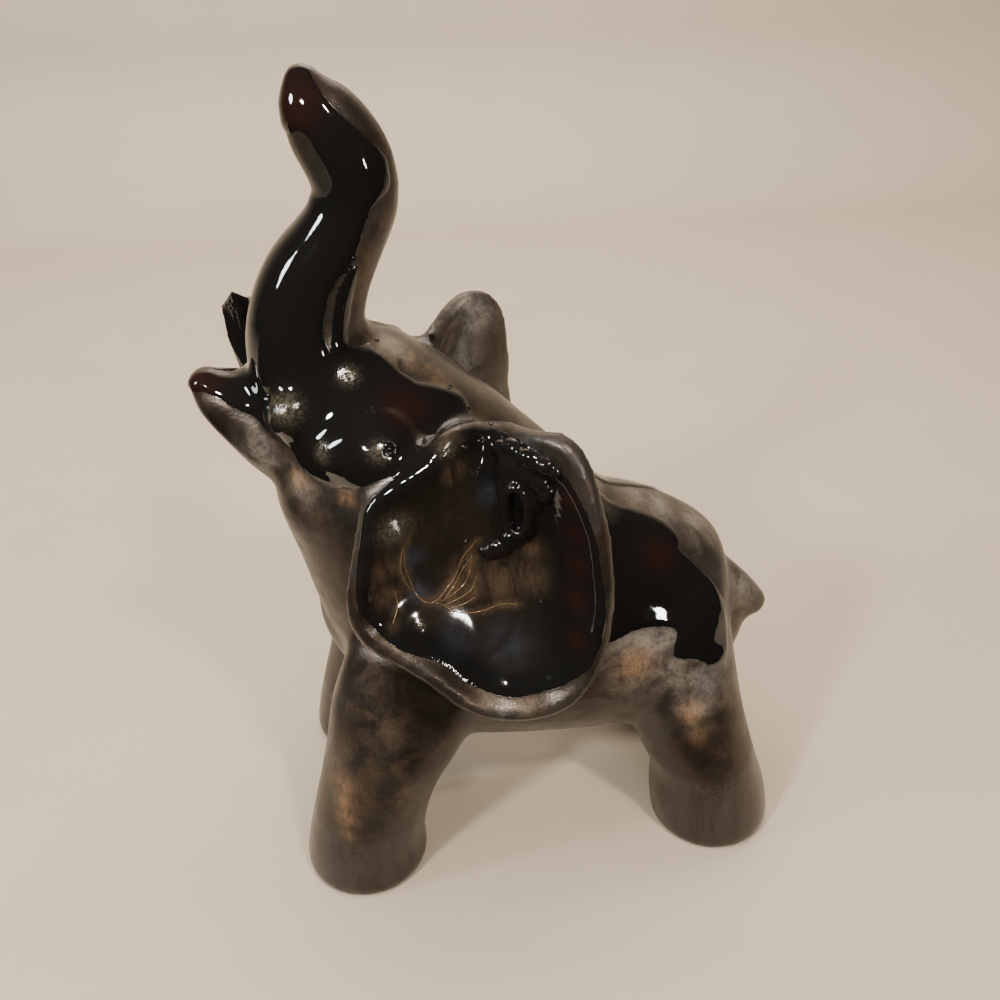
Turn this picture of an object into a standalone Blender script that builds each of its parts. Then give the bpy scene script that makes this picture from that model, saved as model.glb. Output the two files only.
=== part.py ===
"""Ceramic elephant figurine, slip cast in one piece, with its trunk raised.

The figure stands on four round soles and faces -Y. Its left side is +X.
Places and radii below are millimetres on a figure 215 mm tall, and MM turns
them into metres for the height that is set.
"""

import math

import bpy
import bmesh
from mathutils import Matrix, Vector

FIGURE_HEIGHT = 0.215       # soles to trunk tip
EAR_WALL = 0.0050           # thickness of the ear shells
SOLE_DIAMETER = 0.0355      # round feet, where they meet the table
SOLE_EDGE = 0.0022          # rounding of each foot's lower edge
FILLET = 0.0026             # softness of the inner corners, filled by slip and glaze
SOLE_TRIM = 0.0004          # taken off below, so that the soles are level
SURFACE_STEP = 0.0011       # grid on which the limbs flow into one skin
FACETS = 7800               # triangles of the finished skin

DESIGN_HEIGHT = 215.0
MM = FIGURE_HEIGHT / DESIGN_HEIGHT
SOLE = SOLE_DIAMETER / 2.0 / MM
EDGE = SOLE_EDGE / MM
FOOT_TOP = 4.0              # height from which a foot is a plain round pad

DOWN = Vector((0.0, 0.0, -1.0))
FORWARD = Vector((0.0, -1.0, 0.0))
RING_SIDES = 40
STEPS_BETWEEN = 5
CAP_RINGS = 5
CAP_DEPTH = 0.8             # rounding of a limb's end, as a share of its half width

# Each station is (x, y, z, half width across the figure, half width along it).
BARREL = [
    (0.0, 7.0, 69.0, 16.0, 22.0),
    (0.0, 10.0, 70.0, 24.0, 29.0),
    (0.0, 15.0, 71.0, 30.0, 34.5),
    (0.0, 25.0, 70.5, 33.0, 37.5),
    (0.0, 40.0, 69.0, 34.5, 38.0),
    (0.0, 56.0, 68.0, 34.5, 38.0),
    (0.0, 72.0, 67.0, 34.0, 37.5),
    (0.0, 86.0, 63.5, 32.5, 34.5),
    (0.0, 97.0, 59.0, 28.0, 29.0),
    (0.0, 103.5, 57.0, 20.0, 22.5),
    (0.0, 107.5, 56.0, 10.5, 14.0),
]
NECK_TO_TRUNK = [
    (0.0, 32.0, 66.0, 32.0, 33.0),
    (0.0, 26.5, 88.0, 31.0, 34.0),
    (0.0, 20.5, 108.0, 29.0, 32.2),
    (0.0, 13.8, 125.5, 28.0, 29.8),
    (0.0, 6.8, 139.0, 24.0, 23.2),
    (0.0, 1.0, 150.5, 17.2, 16.2),
    (0.0, 0.4, 160.0, 14.4, 13.7),
    (0.0, 4.1, 170.0, 12.4, 12.2),
    (0.0, 10.8, 180.0, 10.1, 9.9),
    (0.0, 15.0, 188.0, 9.2, 9.2),
    (0.0, 14.0, 196.0, 9.4, 9.8),
    (0.0, 10.0, 204.0, 8.4, 9.2),
    (0.0, 7.0, 210.0, 6.4, 6.8),
    (0.0, 6.0, 213.6, 3.6, 3.8),
]
CROWN = [
    (0.0, 4.0, 138.0, 14.0, 11.0),
    (0.0, 18.0, 136.0, 20.0, 12.5),
    (0.0, 32.0, 129.0, 22.0, 13.0),
    (0.0, 46.0, 115.0, 23.5, 13.5),
    (0.0, 60.0, 99.5, 24.5, 14.0),
    (0.0, 76.0, 85.0, 24.0, 13.0),
    (0.0, 92.0, 76.0, 20.0, 12.0),
]
JAW = [
    (0.0, 6.0, 124.0, 18.0, 15.0),
    (0.0, -8.0, 131.0, 15.5, 12.5),
    (0.0, -17.5, 137.5, 11.0, 9.2),
    (0.0, -24.0, 142.8, 7.5, 6.4),
    (0.0, -26.6, 145.6, 4.4, 4.0),
]
FRONT_LEG = [
    (22.0, 19.0, 72.0, 12.0, 18.0),
    (24.0, 14.0, 54.0, 15.5, 19.5),
    (25.5, 7.6, 37.0, 16.0, 16.8),
    (26.5, 3.6, 24.0, 16.2, 16.2),
    (27.0, 0.8, 12.0, 16.8, 16.8),
]
FRONT_FOOT = (27.0, 0.0)
HIND_LEG = [
    (15.0, 90.0, 70.0, 14.0, 17.0),
    (18.0, 93.0, 52.0, 16.0, 17.0),
    (20.5, 97.6, 36.0, 16.5, 15.8),
    (22.0, 101.2, 25.0, 16.4, 15.4),
    (22.5, 103.5, 13.0, 17.0, 17.2),
]
HIND_FOOT = (22.5, 105.0)
TAIL = [
    (0.0, 90.0, 79.0, 12.0, 8.0),
    (0.0, 103.0, 75.0, 9.0, 7.5),
    (0.0, 112.5, 68.3, 6.4, 6.2),
    (0.0, 119.3, 62.4, 4.4, 4.6),
]
RIGHT_TUSK = [
    (-13.0, -7.0, 131.0, 5.5, 5.5),
    (-19.5, -15.2, 136.5, 4.2, 4.6),
    (-22.5, -19.0, 146.0, 3.6, 4.6),
    (-24.0, -20.0, 156.4, 3.0, 4.4),
]

# Each ball is (x, y, z, radius). Of the left tusk only the root is there.
LEFT_TUSK_ROOT = (15.0, -4.0, 143.0, 6.0)
CHEEK = (19.0, 14.0, 135.0, 12.0)
EYE = (26.4, 17.4, 138.8, 3.2)

# The rim of the left ear, from the crown back, down and forward again.
EAR_RIM = [
    (20.0, 42.5, 141.0),
    (31.0, 48.0, 144.0),
    (38.0, 52.6, 145.2),
    (42.0, 57.7, 141.4),
    (44.5, 61.5, 129.4),
    (46.0, 64.4, 111.0),
    (48.0, 63.4, 90.5),
    (50.0, 57.2, 77.2),
    (50.5, 46.6, 73.4),
    (50.0, 34.7, 76.2),
    (48.0, 24.8, 85.0),
    (46.0, 16.2, 91.3),
    (44.0, 9.6, 95.5),
    (42.5, 7.2, 101.7),
    (41.0, 8.4, 110.5),
    (39.0, 10.8, 121.0),
    (36.5, 13.5, 129.5),
    (35.0, 25.9, 136.8),
    (33.0, 30.5, 141.5),
    (28.0, 35.0, 143.5),
]
EAR_HEART = (30.0, 36.0, 112.0)
EAR_CUP = 2.6               # how late the shell turns out towards its rim
EAR_RINGS = 14

# The right ear is the same shell, narrower, tipped and set further forward.
RIGHT_EAR_PITCH = math.radians(8.0)
RIGHT_EAR_REACH = 0.8
RIGHT_EAR_FORWARD = 10.5
RIGHT_EAR_RISE = 2.5


def clear_scene():
    for item in list(bpy.data.objects):
        bpy.data.objects.remove(item, do_unlink=True)


def start_collection(name):
    collection = bpy.data.collections.new(name)
    bpy.context.scene.collection.children.link(collection)
    layer = bpy.context.view_layer.layer_collection.children[collection.name]
    bpy.context.view_layer.active_layer_collection = layer


def finish_body(name, shell):
    """Makes an object of a bmesh and frees the bmesh."""
    mesh = bpy.data.meshes.new(name)
    shell.to_mesh(mesh)
    shell.free()
    body = bpy.data.objects.new(name, mesh)
    bpy.context.collection.objects.link(body)
    return body


def evaluated_mesh(body):
    graph = bpy.context.evaluated_depsgraph_get()
    return bpy.data.meshes.new_from_object(body.evaluated_get(graph))


def apply_modifiers(body):
    mesh = evaluated_mesh(body)
    body.modifiers.clear()
    body.data = mesh


def catmull_rom(before, start, end, after, t):
    """One number on the smooth curve that passes through start and end."""
    return 0.5 * (2.0 * start + (end - before) * t
                  + (2.0 * before - 5.0 * start + 4.0 * end - after) * t ** 2
                  + (3.0 * start - before - 3.0 * end + after) * t ** 3)


def smooth_rows(rows, closed=False):
    """Rows of numbers with further rows between them on a smooth curve."""
    count = len(rows)
    result = []
    for span in range(count if closed else count - 1):
        places = [span + shift for shift in (-1, 0, 1, 2)]
        if closed:
            picks = [rows[place % count] for place in places]
        else:
            picks = [rows[min(max(place, 0), count - 1)] for place in places]
        for step in range(STEPS_BETWEEN):
            t = step / STEPS_BETWEEN
            result.append([catmull_rom(*numbers, t) for numbers in zip(*picks)])
    if not closed:
        result.append(list(rows[-1]))
    return result


def spine_directions(centres):
    """The way that the spine runs at each of its centres."""
    last = len(centres) - 1
    return [(centres[min(index + 1, last)] - centres[max(index - 1, 0)]).normalized()
            for index in range(last + 1)]


def ring_axes(direction):
    """The axes across the figure and along it of a ring that is square to its spine."""
    reference = FORWARD if abs(direction.dot(FORWARD)) < 0.9 else -DOWN
    across = direction.cross(reference).normalized()
    return across, across.cross(direction).normalized()


def add_ring(shell, centre, axes, half_across, half_along):
    across, along = axes
    ring = []
    for side in range(RING_SIDES):
        angle = 2.0 * math.pi * side / RING_SIDES
        place = (centre + across * (half_across * math.cos(angle))
                 + along * (half_along * math.sin(angle)))
        ring.append(shell.verts.new(place * MM))
    return ring


def round_cap(shell, centre, outward, axes, half_across, half_along):
    """Rings that close a limb's end like half an egg, from its wide end out."""
    depth = CAP_DEPTH * min(half_across, half_along)
    rings = []
    for step in range(1, CAP_RINGS + 1):
        angle = 0.5 * math.pi * step / (CAP_RINGS + 0.5)
        place = centre + outward * (depth * math.sin(angle))
        rings.append(add_ring(shell, place, axes, half_across * math.cos(angle),
                              half_along * math.cos(angle)))
    return rings


def sole_cap(shell, centre, axes, half_across, half_along):
    """Rings that round a foot's lower edge down to its flat sole."""
    rings = []
    for step in range(1, CAP_RINGS + 1):
        angle = 0.5 * math.pi * step / CAP_RINGS
        inset = EDGE * (1.0 - math.cos(angle))
        place = centre + DOWN * (EDGE * math.sin(angle))
        rings.append(add_ring(shell, place, axes, half_across - inset, half_along - inset))
    return rings


def skin_rings(shell, rings):
    for lower, upper in zip(rings, rings[1:]):
        for side in range(RING_SIDES):
            following = (side + 1) % RING_SIDES
            shell.faces.new((lower[side], lower[following], upper[following], upper[side]))
    shell.faces.new(list(reversed(rings[0])))
    shell.faces.new(rings[-1])
    bmesh.ops.recalc_face_normals(shell, faces=shell.faces)


def limb(name, stations, foot=False):
    """A closed body lofted through its stations, with round ends or a flat sole."""
    rows = smooth_rows(stations)
    centres = [Vector(row[:3]) for row in rows]
    directions = spine_directions(centres)
    if foot:
        directions = [direction.lerp(DOWN, (index / (len(rows) - 1)) ** 2).normalized()
                      for index, direction in enumerate(directions)]
    axes = [ring_axes(direction) for direction in directions]
    shell = bmesh.new()
    start = round_cap(shell, centres[0], -directions[0], axes[0], *rows[0][3:])
    middle = [add_ring(shell, centre, pair, *row[3:])
              for row, centre, pair in zip(rows, centres, axes)]
    if foot:
        end = sole_cap(shell, centres[-1], axes[-1], *rows[-1][3:])
    else:
        end = round_cap(shell, centres[-1], directions[-1], axes[-1], *rows[-1][3:])
    skin_rings(shell, start[::-1] + middle + end)
    return finish_body(name, shell)


def leg(name, stations, foot_place, side):
    """A leg down to its round foot, on the left side or mirrored to the right."""
    foot = [foot_place + (height, SOLE, SOLE) for height in (FOOT_TOP, EDGE)]
    return limb(name, [(side * row[0],) + tuple(row[1:]) for row in stations + foot], foot=True)


def ball(name, row, side=1.0):
    shell = bmesh.new()
    bmesh.ops.create_uvsphere(shell, u_segments=28, v_segments=16, radius=row[3] * MM)
    bmesh.ops.translate(shell, verts=shell.verts, vec=Vector((side * row[0], row[1], row[2])) * MM)
    return finish_body(name, shell)


def ear_place(point, side):
    """A point of the left ear, or its fellow on the right ear."""
    if side > 0.0:
        return point * MM
    heart = Vector(EAR_HEART)
    out = point - heart
    out.y *= RIGHT_EAR_REACH
    out.rotate(Matrix.Rotation(RIGHT_EAR_PITCH, 3, "X"))
    place = heart + out + Vector((0.0, -RIGHT_EAR_FORWARD, RIGHT_EAR_RISE))
    return Vector((-place.x, place.y, place.z)) * MM


def ear(name, side):
    """A cupped shell from the heart of the ear to its rim, with a wall."""
    rim = [Vector(row) for row in smooth_rows(EAR_RIM, closed=True)]
    heart = Vector(EAR_HEART)
    shell = bmesh.new()
    rings = []
    for ring_index in range(1, EAR_RINGS + 1):
        share = ring_index / EAR_RINGS
        cupped = Vector((share ** EAR_CUP, share, share))
        rings.append([shell.verts.new(ear_place(heart + (point - heart) * cupped, side))
                      for point in rim])
    middle = shell.verts.new(ear_place(heart, side))
    for index in range(len(rim)):
        following = (index + 1) % len(rim)
        shell.faces.new((middle, rings[0][index], rings[0][following]))
        for inner, outer in zip(rings, rings[1:]):
            shell.faces.new((inner[index], outer[index], outer[following], inner[following]))
    bmesh.ops.recalc_face_normals(shell, faces=shell.faces)
    if side * sum(face.normal.x * face.calc_area() for face in shell.faces) < 0.0:
        bmesh.ops.reverse_faces(shell, faces=shell.faces)
    body = finish_body(name, shell)
    wall = body.modifiers.new("wall", "SOLIDIFY")
    wall.thickness = EAR_WALL
    wall.offset = -1.0
    return body


def joined_bodies(bodies, name):
    together = bmesh.new()
    for body in bodies:
        mesh = evaluated_mesh(body)
        together.from_mesh(mesh)
        bpy.data.meshes.remove(mesh)
        bpy.data.objects.remove(body, do_unlink=True)
    return finish_body(name, together)


def flow_together(skin, swell):
    """Swells the skin, then joins on an even grid what overlaps."""
    push = skin.modifiers.new("swell", "DISPLACE")
    push.mid_level = 0.0
    push.strength = swell
    grid = skin.modifiers.new("grid", "REMESH")
    grid.mode = "VOXEL"
    grid.voxel_size = SURFACE_STEP


def settle(skin):
    """Fills the inner corners and evens the skin."""
    for swell in (0.0, FILLET, -FILLET):
        flow_together(skin, swell)
    even = skin.modifiers.new("even", "SMOOTH")
    even.factor = 0.5
    even.iterations = 8
    apply_modifiers(skin)


def reduce_facets(skin):
    fewer = skin.modifiers.new("facets", "DECIMATE")
    fewer.ratio = FACETS / (2.0 * len(skin.data.polygons))
    apply_modifiers(skin)


def level_soles(skin):
    """Cuts the soles level and puts the origin under the middle of the figure."""
    shell = bmesh.new()
    shell.from_mesh(skin.data)
    cut = min(vert.co.z for vert in shell.verts) + SOLE_TRIM
    geometry = list(shell.verts) + list(shell.edges) + list(shell.faces)
    cut_geometry = bmesh.ops.bisect_plane(
        shell, geom=geometry, plane_co=(0.0, 0.0, cut), plane_no=(0.0, 0.0, 1.0),
        clear_inner=True, dist=1e-6)["geom_cut"]
    rims = [item for item in cut_geometry if isinstance(item, bmesh.types.BMEdge)]
    bmesh.ops.contextual_create(shell, geom=rims)
    bmesh.ops.triangulate(shell, faces=shell.faces)
    bmesh.ops.recalc_face_normals(shell, faces=shell.faces)
    xs = [vert.co.x for vert in shell.verts]
    ys = [vert.co.y for vert in shell.verts]
    middle = Vector(((min(xs) + max(xs)) / 2.0, (min(ys) + max(ys)) / 2.0, cut))
    bmesh.ops.translate(shell, verts=shell.verts, vec=-middle)
    shell.to_mesh(skin.data)
    shell.free()


def lustre_glaze():
    material = bpy.data.materials.new("Black lustre glaze on earthenware")
    material.use_nodes = True
    shader = material.node_tree.nodes["Principled BSDF"]
    shader.inputs["Base Color"].default_value = (0.030, 0.024, 0.020, 1.0)
    shader.inputs["Roughness"].default_value = 0.22
    shader.inputs["Metallic"].default_value = 0.45
    return material


def main():
    clear_scene()
    start_collection("Ceramic elephant figurine")
    bodies = [
        limb("barrel", BARREL),
        limb("neck, head and trunk", NECK_TO_TRUNK),
        limb("crown", CROWN),
        limb("jaw", JAW),
        limb("tail", TAIL),
        limb("right tusk", RIGHT_TUSK),
        ball("left tusk root", LEFT_TUSK_ROOT),
    ]
    for side in (1.0, -1.0):
        bodies.append(leg("front leg", FRONT_LEG, FRONT_FOOT, side))
        bodies.append(leg("hind leg", HIND_LEG, HIND_FOOT, side))
        bodies.append(ball("cheek", CHEEK, side))
        bodies.append(ball("eye", EYE, side))
        bodies.append(ear("ear", side))
    figurine = joined_bodies(bodies, "elephant_figurine")
    settle(figurine)
    reduce_facets(figurine)
    level_soles(figurine)
    figurine.data.materials.append(lustre_glaze())
    figurine.data.shade_smooth()


if __name__ == "__main__":
    main()
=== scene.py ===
"""A slip cast elephant with its trunk raised, glazed in black over a bronze lustre.

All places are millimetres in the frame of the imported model: the figure faces -Y,
its left side is +X and it stands on Z = 0.
"""

import math

import bpy
import numpy as np
from mathutils import Matrix, Vector
from mathutils.bvhtree import BVHTree


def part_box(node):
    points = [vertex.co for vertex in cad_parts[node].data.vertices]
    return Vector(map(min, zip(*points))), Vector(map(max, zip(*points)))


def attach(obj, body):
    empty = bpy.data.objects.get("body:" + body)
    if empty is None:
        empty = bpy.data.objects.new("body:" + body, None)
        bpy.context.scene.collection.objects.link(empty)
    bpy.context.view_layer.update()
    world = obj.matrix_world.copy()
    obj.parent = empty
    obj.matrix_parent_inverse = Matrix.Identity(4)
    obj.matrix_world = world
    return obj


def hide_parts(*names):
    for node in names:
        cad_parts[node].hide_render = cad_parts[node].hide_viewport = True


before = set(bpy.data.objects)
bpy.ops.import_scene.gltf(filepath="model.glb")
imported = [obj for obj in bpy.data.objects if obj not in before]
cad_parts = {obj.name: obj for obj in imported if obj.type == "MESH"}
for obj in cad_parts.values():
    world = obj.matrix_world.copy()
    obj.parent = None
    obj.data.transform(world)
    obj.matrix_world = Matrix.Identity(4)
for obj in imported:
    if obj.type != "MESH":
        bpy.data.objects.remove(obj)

bl_info = {
    "name": "Lustre glazed elephant",
    "version": (1, 0, 0),
    "blender": (4, 5, 0),
    "location": "3D View > Sidebar > Elephant",
    "description": "Builds a glazed ceramic elephant around its packed solid",
    "category": "Object",
}

MM = 0.001
NODE = "elephant_figurine"
BODY = "root"

# How finely the limbs are built: corners of a ring, rows added between two stations,
# rings of a rounded end and that end's depth as a share of the limb's half width.
RING_SIDES = 40
STEPS_BETWEEN = 5
CAP_RINGS = 5
CAP_DEPTH = 0.8
# The round soles: radius, rounding of the edge, what is ground off, and the height at
# which a leg has come down to the sole's radius.
SOLE = 17.75
SOLE_EDGE = 2.2
SOLE_TRIM = 0.4
FOOT_TOP = 4.0
DOWN = Vector((0.0, 0.0, -1.0))
FORWARD = Vector((0.0, -1.0, 0.0))

# The limbs are set out from the middle between the front feet, before the figure
# is centred. Each station is (x, y, z, half width across, half width along).
BARREL = [
    (0, 7, 69, 16, 22), (0, 10, 70, 24, 29), (0, 15, 71, 30, 34.5),
    (0, 25, 70.5, 33, 37.5), (0, 40, 69, 34.5, 38), (0, 56, 68, 34.5, 38),
    (0, 72, 67, 34, 37.5), (0, 86, 63.5, 32.5, 34.5), (0, 97, 59, 28, 29),
    (0, 103.5, 57, 20, 22.5), (0, 107.5, 56, 10.5, 14),
]
NECK_TO_TRUNK = [
    (0, 32, 66, 32, 33), (0, 26.5, 88, 31, 34), (0, 20.5, 108, 29, 32.2),
    (0, 13.8, 125.5, 28, 29.8), (0, 6.8, 139, 24, 23.2), (0, 1, 150.5, 17.2, 16.2),
    (0, 0.4, 160, 14.4, 13.7), (0, 4.1, 170, 12.4, 12.2), (0, 10.8, 180, 10.1, 9.9),
    (0, 15, 188, 9.2, 9.2), (0, 14, 196, 9.4, 9.8), (0, 10, 204, 8.4, 9.2),
    (0, 7, 210, 6.4, 6.8), (0, 6, 213.6, 3.6, 3.8),
]
CROWN = [
    (0, 4, 138, 14, 11), (0, 18, 136, 20, 12.5), (0, 32, 129, 22, 13),
    (0, 46, 115, 23.5, 13.5), (0, 60, 99.5, 24.5, 14), (0, 76, 85, 24, 13),
    (0, 92, 76, 20, 12),
]
JAW = [
    (0, 6, 124, 18, 15), (0, -8, 131, 15.5, 12.5), (0, -17.5, 137.5, 11, 9.2),
    (0, -24, 142.8, 7.5, 6.4), (0, -26.6, 145.6, 4.4, 4),
]
FRONT_LEG = [
    (22, 19, 72, 12, 18), (24, 14, 54, 15.5, 19.5), (25.5, 7.6, 37, 16, 16.8),
    (26.5, 3.6, 24, 16.2, 16.2), (27, 0.8, 12, 16.8, 16.8),
]
FRONT_FOOT = (27, 0)
HIND_LEG = [
    (15, 90, 70, 14, 17), (18, 93, 52, 16, 17), (20.5, 97.6, 36, 16.5, 15.8),
    (22, 101.2, 25, 16.4, 15.4), (22.5, 103.5, 13, 17, 17.2),
]
HIND_FOOT = (22.5, 105)
TAIL = [
    (0, 90, 79, 12, 8), (0, 103, 75, 9, 7.5), (0, 112.5, 68.3, 6.4, 6.2),
    (0, 119.3, 62.4, 4.4, 4.6),
]
TUSK_ROOT = [(-13, -7, 131, 5.5, 5.5), (-18.5, -14, 136, 4.4, 4.8), (-20, -16, 139, 3.4, 3.8)]
LEFT_TUSK_ROOT = (15, -4, 143, 6)
CHEEK = (19, 14, 135, 12)
EYE_SWELL = (26.4, 17.4, 138.8, 3.2)

EAR_RIM = [
    (20, 42.5, 141), (31, 48, 144), (38, 52.6, 145.2), (42, 57.7, 141.4),
    (44.5, 61.5, 129.4), (46, 64.4, 111), (48, 63.4, 90.5), (50, 57.2, 77.2),
    (50.5, 46.6, 73.4), (50, 34.7, 76.2), (48, 24.8, 85), (46, 16.2, 91.3),
    (44, 9.6, 95.5), (42.5, 7.2, 101.7), (41, 8.4, 110.5), (39, 10.8, 121),
    (36.5, 13.5, 129.5), (35, 25.9, 136.8), (33, 30.5, 141.5), (28, 35, 143.5),
]
EAR_HEART = Vector((30, 36, 112))
# A higher cup keeps the ear's middle flatter and its rim steeper.
EAR_CUP = 2.6
EAR_RINGS = 14
# The right ear mirrors the left one, turned, spread towards its top and moved.
RIGHT_EAR_TURN = Matrix.Rotation(math.radians(8), 3, "X")
RIGHT_EAR_REACH = 0.8
RIGHT_EAR_SPREAD = 0.46
RIGHT_EAR_DRAW = 0.18
RIGHT_EAR_SHIFT = Vector((0, -10.5, 2.5))

# Where the thick black glaze ends, as (y, z) seen from the side, from the tip of
# the jaw back under the cheek, over the neck and round the trunk.
HEAD_GLAZE = [
    (-80, 146), (-72.5, 145), (-67.5, 143.5), (-65.5, 142), (-60.5, 140), (-57.5, 137.5),
    (-55.5, 136), (-52, 136), (-50.5, 133), (-48.5, 131), (-43, 128.5), (-39, 129),
    (-35.5, 131.5), (-32, 133.5), (-28.5, 135), (-20, 136), (-12, 136), (-8, 139),
    (-7, 150), (-8, 161), (-29, 161), (-30.5, 156), (-35.5, 156.5), (-36.5, 158),
    (-35.5, 164), (-33.5, 171), (-32.5, 175), (-33.5, 175.5), (-35, 174), (-37.5, 170.5),
    (-38.5, 167.5), (-39.5, 163), (-40.5, 157), (-41, 158.5), (-41.5, 160.5), (-40.5, 166),
    (-38, 172), (-33, 177), (-32, 179), (-28.5, 187.5), (-24.5, 191), (-24, 195),
    (-25.5, 199.5), (-34, 208), (-37.5, 213), (-39.5, 216), (-50, 217), (-50, 203.5),
    (-44.5, 203), (-41, 204), (-37.5, 198), (-36, 194), (-37, 191.5), (-39, 190),
    (-50, 188), (-80, 175),
]
# Half width of the bare crown between the two sides' glaze, as (y, half width).
CROWN_BARE = [
    (-34, 4), (-30, 7.5), (-25.5, 11.5), (-21.5, 12), (-16.5, 10), (-11, 8), (-5, 20),
]
CROWN_FRONT = -33
CROWN_HEIGHTS = (136, 160)
# Past this x on its right side, the head is glazed only ahead of this y.
RIGHT_HEAD = (-18, -16)
# Where the glaze inside the left ear ends, as (y, z). The right ear follows it.
EAR_GLAZE = [
    (-38, 102), (-34, 95.5), (-29, 92), (-24, 89.5), (-20, 87), (-14, 81), (-8.5, 78),
    (-4, 76.5), (2, 77), (7.5, 78.5), (11.5, 81.5), (15.5, 86), (18, 93), (19, 100.5),
    (17, 118.5), (14.5, 127.5), (10.5, 135.5), (8, 137), (5, 139.5), (1.5, 141),
    (-4, 139.5), (-8, 141), (-12.5, 144), (-17, 143), (-22, 139.5), (-31.5, 133),
    (-36, 129.5), (-37.5, 125), (-39, 110), (-39, 104),
]
# The patch of black glaze on back and flank, as (y, way down the side from the spine).
RUMP_GLAZE = [
    (20, 3), (27.5, 4), (33, 5), (39, 7), (43, 10), (45, 13.5), (44.5, 17), (48.5, 21.5),
    (54, 29), (57.5, 40), (58, 50), (57.5, 56), (54, 57.5), (47.5, 53.5), (41.5, 50),
    (40.5, 47), (41.5, 42), (40, 40), (34.5, 39), (29.5, 39.5), (22, 42), (13, 38), (12, 10),
]
BARREL_AXIS_HEIGHT = 68.0
BARREL_RADIUS = 34.0
# What counts as an ear: how far out its shell is looked for, how near to its cup the
# glaze lies, how near to the cup, how far round the glaze and how far out the skin still
# belongs to it, and the y of its front fold, behind which it takes no glaze of the head.
EAR_ROOT = 15
EAR_SKIN = 2.2
EAR_NEAR = 6.5
EAR_SURROUND = -9
EAR_SIDE = 24
FOLD = -12
# A depth inside the glaze that means well outside it, and a gap that means far away.
OUTSIDE = -9.0
FAR = 99.0

# The right tusk, broken off: rings of six corners from its root to its angular top,
# each ring starting at the ridge that faces forward and inward.
TUSK_RINGS = [
    [(-9.5, -53, 133), (-11, -57, 132), (-14, -60, 130), (-17, -56, 130),
     (-16, -51, 131), (-12, -50, 132)],
    [(-14.5, -60.5, 139.5), (-16, -65, 138.5), (-19.5, -67.5, 136.5), (-23.5, -63.5, 137),
     (-21.5, -58.5, 138), (-17, -57.5, 139)],
    [(-17, -63, 147.5), (-17.5, -67, 147), (-22, -70, 146.5), (-25.5, -66.5, 146.5),
     (-24.5, -62, 147), (-20, -60.5, 147.5)],
    [(-17.5, -66, 161.5), (-19, -69.5, 158), (-23.5, -70.5, 155), (-26, -66.5, 156),
     (-24, -62, 157), (-18.5, -62.5, 159)],
]
# Lumps of glaze on the left ear, each (x, y, z, half width, half height, half depth).
CLUMP = [
    (32, 1, 131.5, 5, 7, 2), (31.5, 0, 123.5, 3.8, 8.5, 1.4),
    (27.5, -3.5, 137, 3, 2.2, 1.5), (30.5, -0.5, 138.5, 3.6, 2.6, 1.9), (33.5, 3, 138, 3.4, 2.8, 2.2),
    (36.5, 6, 137.5, 2.5, 2.2, 2.2), (38, 8, 136.5, 1.7, 1.6, 1.8), (31, -1.5, 134, 3.4, 4.4, 2),
    (33, 2, 133.5, 4.4, 4.4, 2.2), (35.5, 5, 132, 2.4, 3.2, 2.2), (35.5, 6, 129, 2, 2, 2.1),
    (31, -3, 128.5, 2.2, 4, 1.5), (34, 3.5, 127, 2.6, 4.6, 1.6), (31, -3, 122.5, 1.9, 4.4, 1.2),
    (33, 3.5, 121.5, 2.1, 4.4, 1.2), (32, 1, 116.5, 3.2, 2.8, 1.8), (31, -1.5, 114, 3.2, 2.6, 1.8),
    (31, -4.5, 111.5, 3.2, 2.3, 1.8), (30.5, -7, 110, 2.6, 1.9, 1.6), (30.5, -8.5, 111, 1.4, 1.4, 1.3),
    (36.5, 7, 131, 1.4, 1.5, 1.9),
]
# The ring round the crater: middle, half width, half height, half thickness of the wall
# and height above the skin. Its torus starts out this thin, as a share of its radius.
CRATER = ((31.8, 0.2, 124.4), 2.9, 6.8, 1.2, 2.5)
THIN = 0.001
# Small beads of glaze, laid out like the lumps.
BEADS = [
    (8, -13.5, 144, 0.7, 0.6, 0.45), (11.5, -7.5, 140, 0.6, 0.6, 0.4), (21, -5, 140.5, 0.8, 0.6, 0.5),
    (4, -30, 155.5, 0.7, 0.6, 0.45), (33.5, -13, 108, 0.5, 0.5, 0.4), (31, -12.5, 114, 0.5, 0.5, 0.35),
    (34.5, 5, 97, 0.5, 0.5, 0.35), (9.5, -33, 177.5, 0.7, 0.6, 0.4), (30, -14, 120.5, 0.5, 0.5, 0.35),
]
# Threads of run glaze inside the left ear, each a path of (y, z), and their radius.
THREADS = [
    [(-27, 117.5), (-27.5, 111.5), (-27, 107.5), (-25.5, 102), (-23, 99.5), (-20.5, 99.5),
     (-18, 101.5), (-15.5, 104.5), (-14, 108.5), (-12, 111.5), (-10, 114)],
    [(-21, 99), (-19, 98), (-16.5, 96), (-12.5, 94.5), (-8.5, 94.5), (-5, 95.5), (-1, 95.5)],
    [(-18.5, 99.5), (-16, 102), (-14, 105.5), (-12, 108.5)],
    [(-19.5, 99), (-16.5, 100), (-13.5, 102), (-12, 105.5), (-11.5, 109.5)],
    [(-19, 98), (-15.5, 98.5), (-12, 100), (-10.5, 103.5)],
    [(-17.5, 97), (-14, 97), (-11, 98)],
    [(-27.5, 116), (-28.5, 111), (-28, 106.5), (-26.5, 103)],
    [(-30.5, 104.5), (-30, 100.5), (-31.5, 97.5)],
]
THREAD_RADIUS = 0.17
# A place well outside the left ear, from where the threads are laid on it.
BESIDE = 80
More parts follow.
